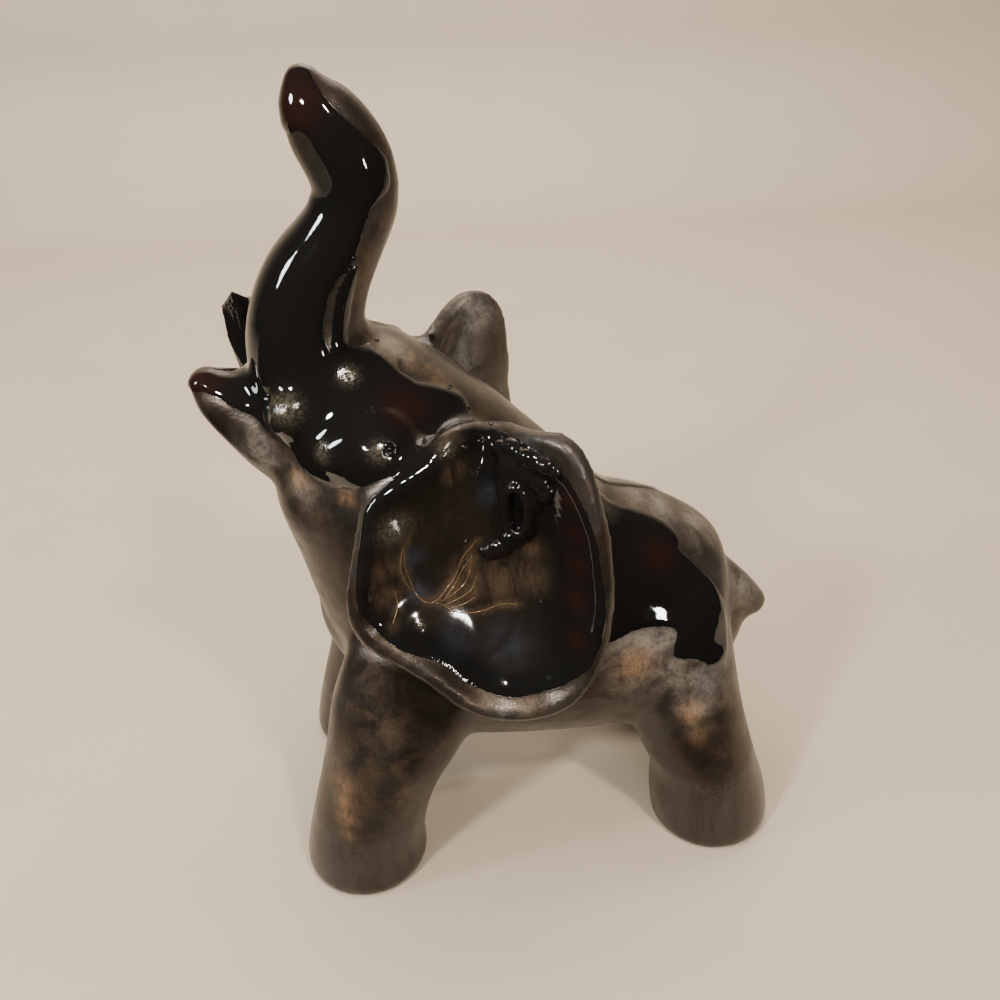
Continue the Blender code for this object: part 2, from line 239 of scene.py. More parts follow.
# The eyes: middle of the left one, which the right one mirrors, radius of the ring and
# of its wall, radius of the ball and how deep the ball sits.
EYE_PLACE = (29.2, -28.9, 139.9)
EYE_RING = 1.45
EYE_RING_WALL = 0.42
EYE_BALL = 0.8
EYE_DEPTH = 0.35
# How the broken tusk's edges are rounded, and the face sizes of the small pieces.
TUSK_EDGE = 0.6
TUSK_GRID = 0.33
CLUMP_GRID = 0.3
BEAD_GRID = 0.16
EYE_GRID = 0.14

# Tints, each (x, y, z, reach).
TINTS = {
    "amber": [
        (30.5, -12, 108, 4), (31, -14.5, 104, 4), (31, -4.5, 102, 6), (31.5, -12.5, 99.5, 3.5),
        (33, -17, 98.5, 2.5), (36, -32, 111.5, 4), (32, 2, 104, 5), (36, -33, 104, 3.5),
        (31, 3, 112, 4), (31.5, -15, 134, 3),
    ],
    "blue": [
        (38, -16.5, 90.5, 4), (37, -4.5, 86, 5), (33.5, -25, 103, 3), (33, -26, 112, 3),
        (30.5, -6.5, 127, 3),
    ],
    "speckle": [
        (34, -29, 121, 4), (38, -25, 95.5, 1),
        (19, -51.5, 146.5, 3), (15.5, -37, 152, 2), (24.5, -43, 137.5, 2), (29.5, -31, 139.5, 2),
        (33, -15.5, 141, 2),
    ],
    "red": [
        (40, 11, 130, 3), (40.5, 12.5, 121, 3.5), (40.5, 13.5, 112, 4), (41, 13.5, 102, 4),
        (43, 13, 91, 3), (5, -42, 209, 6), (2, -74, 147, 6), (20, -24, 146, 6), (18, 38, 96, 5),
    ],
    "bronze": [
        (40, -45, 36, 12), (41, -35, 36, 9), (40, -38, 50, 9), (34, -37, 71, 10), (35, -53, 36, 7),
        (20, -50, 122, 14), (27, -40, 126, 7), (13, -59, 136, 6), (5, -20, 149, 12), (33, 30, 72, 8),
        (44, 0, 76, 9), (34, 40, 60, 8), (8, -28, 176, 8), (36, 55, 38, 8), (35, 56, 50, 9),
    ],
    "pale": [
        (33, 26, 77, 9), (33, 34, 77, 9), (34, 42, 66, 9), (34, 30, 68, 8), (34.5, 47, 54, 6),
        (20.5, -51, 126, 5), (5, -25, 153, 4), (2, 53, 94, 9), (0, 40, 100, 9),
        (24, 59, 65, 8), (4, 68, 72, 9), (-36, -4, 144, 9), (-34, -10, 132, 9),
        (10, 66, 82, 9), (13, -60, 131, 6), (44, 14, 78, 4), (34, 52, 62, 8),
    ],
    "gold": [
        (40, -45, 38, 9), (41, -35, 37, 8), (40, -38, 50, 8), (36, -52, 42, 6), (40, -38, 62, 6),
        (34, 46.5, 54, 4), (36, 58, 18, 6), (37, 48, 14, 6), (33, 30, 70, 6), (5, -16, 145, 8),
        (6, -24, 150, 6), (13, -59, 136, 4), (-40, -42, 40, 9), (-34, -37, 70, 6), (-36, 50, 30, 8),
        (-33, 30, 70, 5), (6, 66, 58, 5), (-10, 66, 40, 6),
    ],
    # Painted highlights: bright copper where lamps glint on the lustre of the near front leg, the flank
    # and the cheek.
    "copper": [
        (33.5, 30, 72, 4.5), (34, 46.5, 52.5, 3.5), (35.5, 49, 45.5, 3), (39, -49.5, 40, 3.5),
        (39, -49, 35, 4), (39, -49, 30, 3.5), (39.5, -49, 24, 2.5), (20.5, -51, 128, 2.5),
        (27, -39.5, 126, 2),
    ],
    "dark": [
        (35.5, -27, 68, 9), (32, 35, 56, 6), (34, -24, 84, 7), (34, 52, 44, 6), (36.5, -55, 25, 5),
        (19, -48, 90.5, 12), (20, -50, 108, 9), (8, -30, 205, 9), (8, -27, 195, 7), (7, -47, 195, 7),
        (8, -50, 201, 6), (0, -33, 211, 7), (9, -29, 160, 6), (-36, 3, 132, 8), (7, -9, 138, 5),
    ],
}
# Soft swellings of the cast skin, each (x, y, z, reach, rise).
SWELLS = [
    (24.5, -43.5, 137, 5, 1.6), (29.5, -31.5, 139, 4, 1.2), (19, -51.5, 146.5, 5, 1),
    (34, -29, 121, 3.6, 2.2), (38, -25, 95.5, 2.5, 0.7),
    (32, -17, 117, 6, 0.8), (-19, -51.5, 146.5, 5, 1), (-24.5, -43.5, 137, 5, 1.6),
]
# Height of the smooth brown pads that the feet end in, on the front and the hind legs.
PAD_TOP_FRONT = 21.5
PAD_TOP_HIND = 28.0
PAD_EDGE = (-1.6, 1.2)
# The legs darken downwards: how much, and between which two heights that comes in.
LOW_DARK = 0.7
LOW_DARK_HEIGHTS = (70, 25)
# Amber shows round the threads: how much and how far.
THREAD_AMBER = 0.9
THREAD_HALO = 1.5
# Lustre mists the ears' middle: how much, where along Y and how deep inside the outline
# of the glaze that comes in.
MIST = 0.7
MIST_ALONG = (9, -1)
MIST_DEPTH = (3, 7)
# Rounds of evening out: the film inside the ears, and the skin that ridges stand out from.
FILM_ROUNDS = 12
STANDING_OUT_ROUNDS = 10
# The glaze film's edge rises over this span, in mm from its outline to its full height,
# and the rolled lip stands where the rise ends.
EDGE_RISE = (-0.4, 1.4)
LIP_WIDTH = 1.0

# Edges, in metres, of the part of the table that shows in reflections. The rest stays
# out of them, so that the glaze on the near side stays black.
FLOOR_BACK = -0.12
FLOOR_FRONT = 0.07
FLOOR_LEFT = -0.17
TABLE_BACK = -0.65
TABLE_EDGE = 1.8
WALL_HEIGHT = 1.6
WALL_BEND = 0.12
# Lamps aimed at the figure, each (name, azimuth, elevation, distance, size, power,
# colour, shows in reflections). Azimuth 0 is ahead of the figure and 90 on its left.
LAMP_TARGET = Vector((0.0, 0.0, 0.09))
LAMPS = [
    ("overhead softbox", 40, 74, 1.1, (0.9, 0.9), 10.0, (1.0, 0.955, 0.90), False),
    ("left lamp", 45, 38, 0.8, (0.09, 0.09), 8.0, (1.0, 0.98, 0.95), True),
    ("right lamp", 118, 52, 0.8, (0.07, 0.07), 6.0, (1.0, 0.93, 0.84), True),
    ("flank softbox", 100, 18, 0.7, (0.5, 0.3), 1.6, (1.0, 0.96, 0.92), False),
    ("window strip", 12, 28, 0.9, (0.12, 0.24), 5.0, (0.96, 0.98, 1.0), True),
    ("low lamp", 128, 11, 0.8, (0.06, 0.10), 2.2, (1.0, 0.96, 0.92), True),
    ("back fill", 262, 42, 0.62, (0.35, 0.35), 0.5, (1.0, 0.97, 0.93), True),
]
# The camera's place in metres, its pitch and roll in degrees, and the level direction
# to its right.
CAMERA_PLACE = Vector((0.2240, -0.0194, 0.2543))
CAMERA_PITCH = 33.68
CAMERA_ROLL = 1.642
CAMERA_RIGHT = Vector((0.0785, 0.9969, 0.0))

# Colours that a user would change, each (name, description, sRGB hex code).
COLOURS = {
    "black": ("Black glaze", "Thick tenmoku glaze", "0f0e0d"),
    "oxblood": ("Thin glaze", "Black glaze where it is thin and lets the brown show", "1c0f0d"),
    "bronze": ("Bronze lustre", "Warm part of the lustre", "5f4d3c"),
    "gunmetal": ("Gunmetal lustre", "Cool part of the lustre", "423e3a"),
    "umber": ("Umber", "Dark clouds in the lustre", "2f2720"),
    "pewter": ("Pewter lustre", "Pale dry part of the lustre", "7a7268"),
    "pad": ("Foot pad", "Smooth brown glaze of the feet", "19120d"),
    "frost": ("Frost", "Fine crystals of lustre floating on the glaze", "655d4c"),
    "gold": ("Old gold", "Golden brown patches on the legs", "74614b"),
    # Painted highlight: this copper colour stands in for lamps glinting on the lustre.
    "copper": ("Painted copper highlight", "Highlight painted into the lustre where lamps glint", "b3906e"),
    "amber": ("Amber", "Run glaze inside the ear", "453729"),
    "honey": ("Honey", "Threads of run glaze inside the ear", "6f583b"),
    "blue": ("Blue bloom", "Cool bloom inside the ear", "22252b"),
    "table": ("Table", "Pale floor and backdrop", "9d8f7c"),
}


def hex_colour(code):
    """The linear colour of an sRGB hex code."""
    parts = [int(code[start:start + 2], 16) / 255 for start in (0, 2, 4)]
    return tuple(p / 12.92 if p <= 0.04045 else ((p + 0.055) / 1.055) ** 2.4 for p in parts)


class ElephantSizes(bpy.types.PropertyGroup):
    """Sizes of the skin and its glaze"""
    ear_wall: bpy.props.FloatProperty(
        name="Ear wall", description="Thickness of the ear shells",
        default=5.0 * MM, min=2.0 * MM, max=8.0 * MM, unit="LENGTH", precision=4)
    fillet: bpy.props.FloatProperty(
        name="Fillet", description="Softness of the inner corners",
        default=2.6 * MM, min=0.5 * MM, max=5.0 * MM, unit="LENGTH", precision=4)
    skin_grid: bpy.props.FloatProperty(
        name="Skin grid", description="Size of the skin's faces",
        default=1.06 * MM, min=0.8 * MM, max=4.0 * MM, unit="LENGTH", precision=5)
    glaze_film: bpy.props.FloatProperty(
        name="Glaze film", description="Height of the thick black glaze above the lustre",
        default=0.45 * MM, min=0.0, max=1.0 * MM, unit="LENGTH", precision=5)
    glaze_lip: bpy.props.FloatProperty(
        name="Glaze lip", description="Extra height of the rolled edge of the black glaze",
        default=0.1 * MM, min=0.0, max=0.6 * MM, unit="LENGTH", precision=5)


class ElephantColours(bpy.types.PropertyGroup):
    """Colours of the glazes, the lustre and the table"""
    __annotations__ = {
        key: bpy.props.FloatVectorProperty(
            name=name, description=description, subtype="COLOR", size=3, min=0.0, max=1.0,
            default=hex_colour(code))
        for key, (name, description, code) in COLOURS.items()}


def deselect():
    bpy.ops.object.select_all(action="DESELECT")


def make_active(item):
    deselect()
    item.select_set(True)
    bpy.context.view_layer.objects.active = item


def name_new(name):
    """Names the primitive that was just added."""
    item = bpy.context.object
    item.name = name
    item.data.name = name
    return item


def apply_modifier(item, kind, **settings):
    make_active(item)
    modifier = item.modifiers.new(kind.lower(), kind)
    for key, value in settings.items():
        setattr(modifier, key, value)
    bpy.ops.object.modifier_apply(modifier=modifier.name)


def join(items, name):
    make_active(items[0])
    for item in items:
        item.select_set(True)
    bpy.ops.object.join()
    return name_new(name)


def edit_all(item, *steps):
    """Runs edit mode steps on the whole of an object's mesh."""
    make_active(item)
    bpy.ops.object.mode_set(mode="EDIT")
    bpy.ops.mesh.select_all(action="SELECT")
    for step, settings in steps:
        step(**settings)
    bpy.ops.object.mode_set(mode="OBJECT")


def vertex_array(item, key="co"):
    """The places of an object's vertices, or their normals."""
    rows = np.empty(len(item.data.vertices) * 3)
    item.data.vertices.foreach_get(key, rows)
    return rows.reshape(-1, 3)


def set_vertices(item, places):
    item.data.vertices.foreach_set("co", np.asarray(places, float).ravel())
    item.data.update()


def set_attribute(item, name, values):
    layer = item.data.attributes.new(name, "FLOAT", "POINT")
    layer.data.foreach_set("value", np.asarray(values, np.float32))


def catmull_rom(before, start, end, after, t):
    """One number on the smooth curve that passes through start and end."""
    return 0.5 * (2 * start + (end - before) * t
                  + (2 * before - 5 * start + 4 * end - after) * t ** 2
                  + (3 * start - before - 3 * end + after) * t ** 3)


def smooth_rows(rows, closed=False, steps=STEPS_BETWEEN):
    """Rows of numbers with further rows between them on a smooth curve."""
    count = len(rows)
    result = []
    for span in range(count if closed else count - 1):
        places = [span + shift for shift in (-1, 0, 1, 2)]
        if closed:
            picks = [rows[place % count] for place in places]
        else:
            picks = [rows[min(max(place, 0), count - 1)] for place in places]
        for step in range(steps):
            result.append([catmull_rom(*numbers, step / steps) for numbers in zip(*picks)])
    if not closed:
        result.append(list(rows[-1]))
    return result


def ring_axes(direction):
    """The axes across the figure and along it of a ring that is square to its spine."""
    reference = FORWARD if abs(direction.dot(FORWARD)) < 0.9 else -DOWN
    across = direction.cross(reference).normalized()
    return across, across.cross(direction).normalized()


def ring(centre, axes, half_across, half_along, sides=RING_SIDES):
    across, along = axes
    turns = [2 * math.pi * side / sides for side in range(sides)]
    return [centre + across * (half_across * math.cos(turn)) + along * (half_along * math.sin(turn))
            for turn in turns]


def cap_rings(centre, outward, axes, half_across, half_along, sole=False):
    """Rings that close a limb, like half an egg or with a rounded edge round a flat sole."""
    rings = []
    for step in range(1, CAP_RINGS + 1):
        turn = 0.5 * math.pi * step / (CAP_RINGS if sole else CAP_RINGS + 0.5)
        if sole:
            inset = SOLE_EDGE * (1 - math.cos(turn))
            place = centre + DOWN * (SOLE_EDGE * math.sin(turn))
            rings.append(ring(place, axes, half_across - inset, half_along - inset))
        else:
            depth = CAP_DEPTH * min(half_across, half_along) * math.sin(turn)
            rings.append(ring(centre + outward * depth, axes, half_across * math.cos(turn),
                              half_along * math.cos(turn)))
    return rings


def sphere_through(name, rings):
    """A sphere primitive whose rows of vertices are drawn out to the rings of a limb."""
    sides = len(rings[0])
    bpy.ops.mesh.primitive_uv_sphere_add(segments=sides, ring_count=len(rings) + 1, radius=1.0)
    item = name_new(name)
    middles = [sum(row, Vector()) / sides for row in rings]
    places = []
    for x, y, z in vertex_array(item):
        row = round(math.acos(min(max(z, -1.0), 1.0)) / math.pi * (len(rings) + 1)) - 1
        side = round(math.atan2(y, x) / (2 * math.pi) * sides) % sides
        if row < 0:
            places.append(middles[0])
        elif row >= len(rings):
            places.append(middles[-1])
        else:
            places.append(rings[row][side])
    set_vertices(item, np.array([tuple(place) for place in places]) * MM)
    edit_all(item, (bpy.ops.mesh.normals_make_consistent, {"inside": False}))
    return item


def limb(name, stations, foot=False):
    rows = smooth_rows(stations)
    centres = [Vector(row[:3]) for row in rows]
    last = len(rows) - 1
    directions = [(centres[min(i + 1, last)] - centres[max(i - 1, 0)]).normalized()
                  for i in range(last + 1)]
    if foot:
        directions = [direction.lerp(DOWN, (i / last) ** 2).normalized()
                      for i, direction in enumerate(directions)]
    axes = [ring_axes(direction) for direction in directions]
    start = cap_rings(centres[0], -directions[0], axes[0], *rows[0][3:])
    middle = [ring(centre, pair, *row[3:]) for row, centre, pair in zip(rows, centres, axes)]
    end = cap_rings(centres[-1], directions[-1], axes[-1], *rows[-1][3:], sole=foot)
    return sphere_through(name, start[::-1] + middle + end)


def leg(name, stations, foot_place, side):
    foot = [foot_place + (height, SOLE, SOLE) for height in (FOOT_TOP, SOLE_EDGE)]
    return limb(name, [(side * row[0],) + tuple(row[1:]) for row in stations + foot], foot=True)


def ball(name, row, side=1.0):
    bpy.ops.mesh.primitive_uv_sphere_add(
        segments=28, ring_count=16, radius=row[3] * MM,
        location=Vector((side * row[0], row[1], row[2])) * MM)
    bpy.ops.object.transform_apply(location=True, rotation=True, scale=True)
    return name_new(name)


def right_ear_reach(back, up):
    """How far the right ear spreads back against the left one, more so at its top."""
    spread = RIGHT_EAR_SPREAD * np.clip(back / 20, 0, 1) - RIGHT_EAR_DRAW
    return RIGHT_EAR_REACH + spread * np.clip(up / 25, 0, 1)


def ear_place(point, side):
    """A point of the left ear, or its fellow on the right ear."""
    if side > 0:
        return point * MM
    out = point - EAR_HEART
    out.y *= right_ear_reach(out.y, out.z)
    out.rotate(RIGHT_EAR_TURN)
    place = EAR_HEART + out + RIGHT_EAR_SHIFT
    return Vector((-place.x, place.y, place.z)) * MM


def left_ear_fellow(places):
    """Points of the right ear as the points of the left ear that they mirror, in mm."""
    out = places * np.array([-1.0, 1.0, 1.0]) - np.array(EAR_HEART + RIGHT_EAR_SHIFT)
    out = out @ np.array(RIGHT_EAR_TURN)
    out[:, 1] /= right_ear_reach(out[:, 1], out[:, 2])
    return out + np.array(EAR_HEART)


def ear(name, side):
    """Half a sphere whose rows run out from the heart of the ear to its rim."""
    rim = [Vector(row) for row in smooth_rows(EAR_RIM, closed=True)]
    bpy.ops.mesh.primitive_uv_sphere_add(
        segments=len(rim), ring_count=2 * EAR_RINGS, radius=1.0)
    item = name_new(name)
    edit_all(item, (bpy.ops.mesh.bisect, {
        "plane_co": (0, 0, 0), "plane_no": (0, 0, 1), "clear_inner": True, "threshold": 1e-4}))
    places = []
    for x, y, z in vertex_array(item):
        share = round(math.acos(min(z, 1.0)) / (0.5 * math.pi) * EAR_RINGS) / EAR_RINGS
        point = rim[round(math.atan2(y, x) / (2 * math.pi) * len(rim)) % len(rim)]
        cupped = Vector((share ** EAR_CUP, share, share))
        places.append(tuple(ear_place(EAR_HEART + (point - EAR_HEART) * cupped, side)))
    set_vertices(item, places)
    outward = sum(face.normal.x * face.area for face in item.data.polygons)
    if side * outward < 0:
        edit_all(item, (bpy.ops.mesh.flip_normals, {}))
    return item


def signed_distance(points, outline):
    """How far each point lies inside a closed outline, and less than nothing outside."""
    corners = np.array(smooth_rows(outline, closed=True, steps=4))
    nearest = np.full(len(points), np.inf)
    inside = np.zeros(len(points), bool)
    for start, end in zip(corners, np.roll(corners, -1, axis=0)):
        run = end - start
        share = np.clip(((points - start) @ run) / max(run @ run, 1e-9), 0, 1)
        gap = np.hypot(*(points - start - share[:, None] * run).T)
        nearest = np.minimum(nearest, gap)
        crosses = (start[1] > points[:, 1]) != (end[1] > points[:, 1])
        if run[1]:
            at = start[0] + (points[:, 1] - start[1]) * run[0] / run[1]
            inside ^= crosses & (points[:, 0] < at)
    return np.where(inside, nearest, -nearest)


def smooth_step(low, high, values):
    share = np.clip((values - low) / (high - low), 0, 1)
    return share * share * (3 - 2 * share)


def fall_off(offsets, reach):
    """1 at a place and less with the distance from it, all but nothing at twice its reach."""
    return np.exp(-(np.linalg.norm(offsets, axis=1) / reach) ** 2)


def search_tree(item):
    return BVHTree.FromPolygons([vertex.co.copy() for vertex in item.data.vertices],
                                [tuple(face.vertices) for face in item.data.polygons])


def distance_to(tree, places):
    return np.array([tree.find_nearest(Vector(place))[3] for place in places])


def even_out(item, values, rounds, where=None):
    """Evens rows of values over neighbouring vertices, all over or only where it is asked."""
    edges = np.empty(len(item.data.edges) * 2, np.int64)
    item.data.edges.foreach_get("vertices", edges)
    edges = edges.reshape(-1, 2)
    counts = np.bincount(edges.ravel(), minlength=len(values))[:, None]
    for _ in range(rounds):
        total = np.zeros_like(values)
        np.add.at(total, edges[:, 0], values[edges[:, 1]])
        np.add.at(total, edges[:, 1], values[edges[:, 0]])
        evened = 0.5 * values + 0.5 * (total / counts)
        values = evened if where is None else np.where(where[:, None], evened, values)
    return values


def convexity(item, rounds):
    """How far each vertex stands out from its surroundings, in mm."""
    places = vertex_array(item)
    return ((places - even_out(item, places, rounds)) * vertex_array(item, "normal")).sum(1) / MM


def lying_on_skin(point, tree):
    """The matrix that lays a shape flat on the skin at the place nearest to a point."""
    place, out = tree.find_nearest(Vector(point) * MM)[:2]
    across = Vector((0.0, 0.0, 1.0)).cross(out).normalized()
    turn = Matrix((across, out.cross(across), out)).transposed()
    return Matrix.Translation(place) @ turn.to_4x4()


def blob(row, tree):
    """A flattened ball of glaze that lies on the skin."""
    bpy.ops.mesh.primitive_uv_sphere_add(segments=24, ring_count=16, radius=MM)
    item = name_new("blob")
    item.data.transform(lying_on_skin(row[:3], tree) @ Matrix.Diagonal((*row[3:], 1.0)))
    return item


def melt(items, name, grid, rounds):
    """Joins lumps of glaze into one skin with soft hollows between them."""
    item = join(items, name)
    apply_modifier(item, "REMESH", mode="VOXEL", voxel_size=grid * MM)
    apply_modifier(item, "SMOOTH", factor=0.5, iterations=rounds)
    return item


def finish_piece(item, material):
    item.data.materials.clear()
    item.data.materials.append(material)
    make_active(item)
    bpy.ops.object.shade_smooth()
    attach(item, BODY)


def node(tree, kind, links, output=0, **settings):
    """Adds a node, sets it, links or fills its inputs and hands back one of its outputs."""
    made = tree.nodes.new("ShaderNode" + kind)
    for key, value in settings.items():
        setattr(made, key, value)
    for key, value in links.items():
        fill(tree, made.inputs[key], value)
    return made.outputs[output]


def fill(tree, socket, value):
    if isinstance(value, bpy.types.NodeSocket):
        tree.links.new(value, socket)
    elif socket.type == "RGBA":
        socket.default_value = (*value, 1.0)
    else:
        socket.default_value = value


def new_material(name):
    material = bpy.data.materials.new(name)
    material.use_nodes = True
    tree = material.node_tree
    return material, tree, tree.nodes["Principled BSDF"]


def connect(tree, shader, **sources):
    for key, source in sources.items():
        fill(tree, shader.inputs[key.replace("_", " ")], source)


def skin_material(colours):
    """Thick black glaze inside the outlines of the film, and thin lustre everywhere else."""
    # Tenmoku, an iron glaze fired black, poured over a thin bronze lustre on a cast body.
    # To the eye the glaze is wet glass, all but black, that mirrors small sharp lights, and
    # the lustre is a clouded brown metal that only glows where broad light falls on it.
    material, tree, shader = new_material("Black tenmoku glaze over bronze lustre")
    place = node(tree, "TexCoord", {}, "Object")
    tint = {name: node(tree, "Attribute", {}, "Fac", attribute_name=name)
            for name in ("film", "stands_out", "pad", "mist", *TINTS)}
    # Cells of noise in millimetres: size, detail, roughness, how twisted. The real grit
    # and crystals are finer than a render shows, so they are drawn coarser.
    cells = {name: node(tree, "TexNoise", {
        "Vector": place, "Scale": 1000.0 / size, "Detail": detail, "Roughness": rough,
        "Distortion": twist}) for name, (size, detail, rough, twist) in {
            "ragged": (3.0, 4.0, 0.55, 0.0), "cloud": (26.0, 6.0, 0.6, 0.4),
            "drift": (9.0, 7.0, 0.72, 0.5), "grit": (0.9, 3.0, 0.6, 0.0),
            "satin": (7.0, 4.0, 0.6, 0.0), "pool": (6.0, 2.0, 0.5, 0.0),
            "crystal": (0.8, 3.0, 0.7, 0.0)}.items()}
    # Glaze runs down, so its streaks are drawn out along the height.
    cells["streaks"] = node(tree, "TexNoise", {
        "Vector": node(tree, "Mapping", {"Vector": place, "Scale": (1.0, 1.0, 0.3)}),
        "Scale": 1000.0 / 3.0, "Detail": 6.0, "Roughness": 0.7, "Distortion": 0.6})
    # The black glaze's edge is ragged by about half a millimetre.
    edge = node(tree, "Math", {0: cells["ragged"], 1: 0.8, 2: tint["film"]}, operation="MULTIPLY_ADD")
    # Shares taken from a value, each (value, from, to, least, most), with eased ends.
    eased = {name: node(tree, "MapRange", {0: value, 1: low, 2: high, 3: least, 4: most},
                        interpolation_type="SMOOTHSTEP")
             for name, (value, low, high, least, most) in {
                 "black": (edge, 0.32, 0.48, 0.0, 1.0), "step": (edge, 0.25, 0.9, 0.0, 0.1),
                 "clouds": (cells["cloud"], 0.40, 0.62, 0.0, 1.0),
                 "drift": (cells["drift"], 0.42, 0.68, 0.0, 1.0),
                 "gilt": (cells["drift"], 0.40, 0.66, 0.0, 0.8),
                 "worn": (tint["stands_out"], 0.15, 0.9, 0.0, 0.22)}.items()}
    # The same with plain ends.
    even = {name: node(tree, "MapRange", {0: value, 1: low, 2: high, 3: least, 4: most})
            for name, (value, low, high, least, most) in {
                "warmth": (tint["bronze"], 0.0, 1.0, 0.25, 0.95),
                "greying": (cells["drift"], 0.3, 0.6, 0.0, 1.0),
                "highlight_streaks": (cells["streaks"], 0.28, 0.56, 0.0, 1.0),
                "running": (cells["streaks"], 0.3, 0.66, 0.0, 1.0),
                "cooling": (cells["drift"], 0.35, 0.65, 0.0, 1.0),
                "frosting": (cells["crystal"], 0.42, 0.66, 0.12, 0.85),
                "hazing": (eased["drift"], 0.0, 1.0, 0.45, 0.85),
                "pepper": (cells["grit"], 0.48, 0.72, 0.0, 0.4),
                "foot": (cells["streaks"], 0.35, 0.65, 0.0, 1.0),
                "satin": (cells["satin"], 0.3, 0.7, 0.28, 0.44),
                "crumbs": (eased["black"], 0.0, 1.0, 0.08, 0.0),
                "bare_coat": (tint["pad"], 0.0, 1.0, 0.05, 0.08)}.items()}
    # Tints broken up by noise, and shares made stronger or weaker. The copper share is a painted
    # highlight, broken into streaks.
    product = {name: node(tree, "Math", {0: first, 1: second}, operation="MULTIPLY")
               for name, (first, second) in {
                   "warm": (eased["drift"], even["warmth"]), "grey": (tint["pale"], even["greying"]),
                   "bloom": (tint["copper"], even["highlight_streaks"]), "gilt": (tint["gold"], eased["gilt"]),
                   "smoky": (tint["dark"], 0.8), "footed": (tint["pad"], 0.94),
                   "run": (tint["amber"], even["running"]), "haze": (tint["mist"], even["hazing"]),
                   "cool": (tint["blue"], even["cooling"]), "frost": (tint["speckle"], even["frosting"]),
                   "bare_rim": (eased["worn"], 3.0), "crumbs": (cells["grit"], even["crumbs"])}.items()}
    frost = product["frost"]

    foot = node(tree, "Mix", {0: even["foot"], 6: colours.pad, 7: colours.umber}, 2, data_type="RGBA")
    lustre = colours.umber
    # The lustre's colours are laid over one another; the copper one is a painted highlight.
    for share, colour in (
            (eased["clouds"], colours.gunmetal), (product["warm"], colours.bronze),
            (product["grey"], colours.pewter), (product["bloom"], colours.copper),
            (product["gilt"], colours.gold), (product["smoky"], colours.umber),
            (eased["worn"], colours.pewter), (even["pepper"], colours.umber), (product["footed"], foot)):
        lustre = node(tree, "Mix", {0: share, 6: lustre, 7: colour}, 2, data_type="RGBA")
    run = node(tree, "Math", {0: product["run"], 1: product["haze"]}, operation="MAXIMUM")
    glaze = colours.black
    for share, colour in ((tint["red"], colours.oxblood), (run, colours.amber),
                          (product["cool"], colours.blue), (frost, colours.frost)):
        glaze = node(tree, "Mix", {0: share, 6: glaze, 7: colour}, 2, data_type="RGBA")
    base = node(tree, "Mix", {0: eased["black"], 6: lustre, 7: glaze}, 2, data_type="RGBA")

    # The pale, worn and pad parts are duller and less metallic than the rest.
    satin = even["satin"]
    for share, more in ((product["grey"], 0.12), (eased["worn"], 0.7)):
        satin = node(tree, "Math", {0: share, 1: more, 2: satin}, operation="MULTIPLY_ADD")
    satin = node(tree, "Mix", {0: tint["pad"], 2: satin, 3: 0.26})
    glassy = node(tree, "Math", {0: frost, 1: tint["mist"]}, operation="MAXIMUM")
    dry = node(tree, "Math", {0: product["grey"], 1: product["bare_rim"]}, operation="MAXIMUM")
    dry = node(tree, "Math", {0: dry, 1: tint["pad"]}, operation="MAXIMUM")
    rough, metal, sheet = [
        node(tree, "Mix", {0: eased["black"], 2: bare,
                           3: node(tree, "MapRange", {0: share, 3: low, 4: high})})
        for bare, share, low, high in (
            (satin, glassy, 0.045, 0.36),
            (node(tree, "MapRange", {0: dry, 3: 0.76, 4: 0.45}), frost, 0.1, 0.95),
            (even["bare_coat"], frost, 0.08, 0.9))]

    height = node(tree, "Math", {0: eased["step"], 1: product["crumbs"]}, operation="ADD")
    for share, more in ((cells["pool"], 0.10), (frost, 0.05)):
        height = node(tree, "Math", {0: share, 1: more, 2: height}, operation="MULTIPLY_ADD")
    relief = node(tree, "Bump", {"Height": height, "Strength": 1.0, "Distance": MM})
    connect(tree, shader, Base_Color=base, Roughness=rough, Metallic=metal, Normal=relief,
            Coat_Weight=sheet, Coat_Roughness=0.035, Coat_IOR=1.5, Coat_Normal=relief)
    return material


def glaze_material(colours):
    """The same black glaze where it stands thick on its own."""
    # Tenmoku again, run together into drops. To the eye it is black glass with a shade of
    # red, its lights small and hard and a little wavy.
    name = "Thick black tenmoku glaze"
    if name in bpy.data.materials:
        return bpy.data.materials[name]
    material, tree, shader = new_material(name)
    place = node(tree, "TexCoord", {}, "Object")
    pool = node(tree, "TexNoise", {"Vector": place, "Scale": 1000.0 / 4.0, "Detail": 3.0})
    warm = node(tree, "MapRange", {0: pool, 1: 0.5, 2: 0.75, 4: 0.5})
    ripple = node(tree, "TexNoise", {"Vector": place, "Scale": 1000.0 / 1.6, "Detail": 2.0})
    relief = node(tree, "Bump", {"Height": ripple, "Strength": 1.0, "Distance": 0.1 * MM})
    base = node(tree, "Mix", {0: warm, 6: colours.black, 7: colours.oxblood}, 2, data_type="RGBA")
    rough = node(tree, "MapRange", {0: pool, 1: 0.3, 2: 0.7, 3: 0.03, 4: 0.08})
    connect(tree, shader, Base_Color=base, Roughness=rough, Normal=relief)
    return material


def run_material(colours):
    """The thin threads that the glaze left where it ran."""
    # Iron glaze run thin, with lustre in it. To the eye these are fine, dull gold lines.
    material, tree, shader = new_material("Amber run glaze")
    place = node(tree, "TexCoord", {}, "Object")
    grain = node(tree, "TexNoise", {"Vector": place, "Scale": 1000.0 / 1.5, "Detail": 4.0})
    shade = node(tree, "MapRange", {0: grain, 1: 0.35, 2: 0.65})
    base = node(tree, "Mix", {0: shade, 6: colours.amber, 7: colours.honey}, 2, data_type="RGBA")
    rough = node(tree, "MapRange", {0: shade, 3: 0.35, 4: 0.2})
    connect(tree, shader, Base_Color=base, Roughness=rough, Metallic=0.35)
    return material


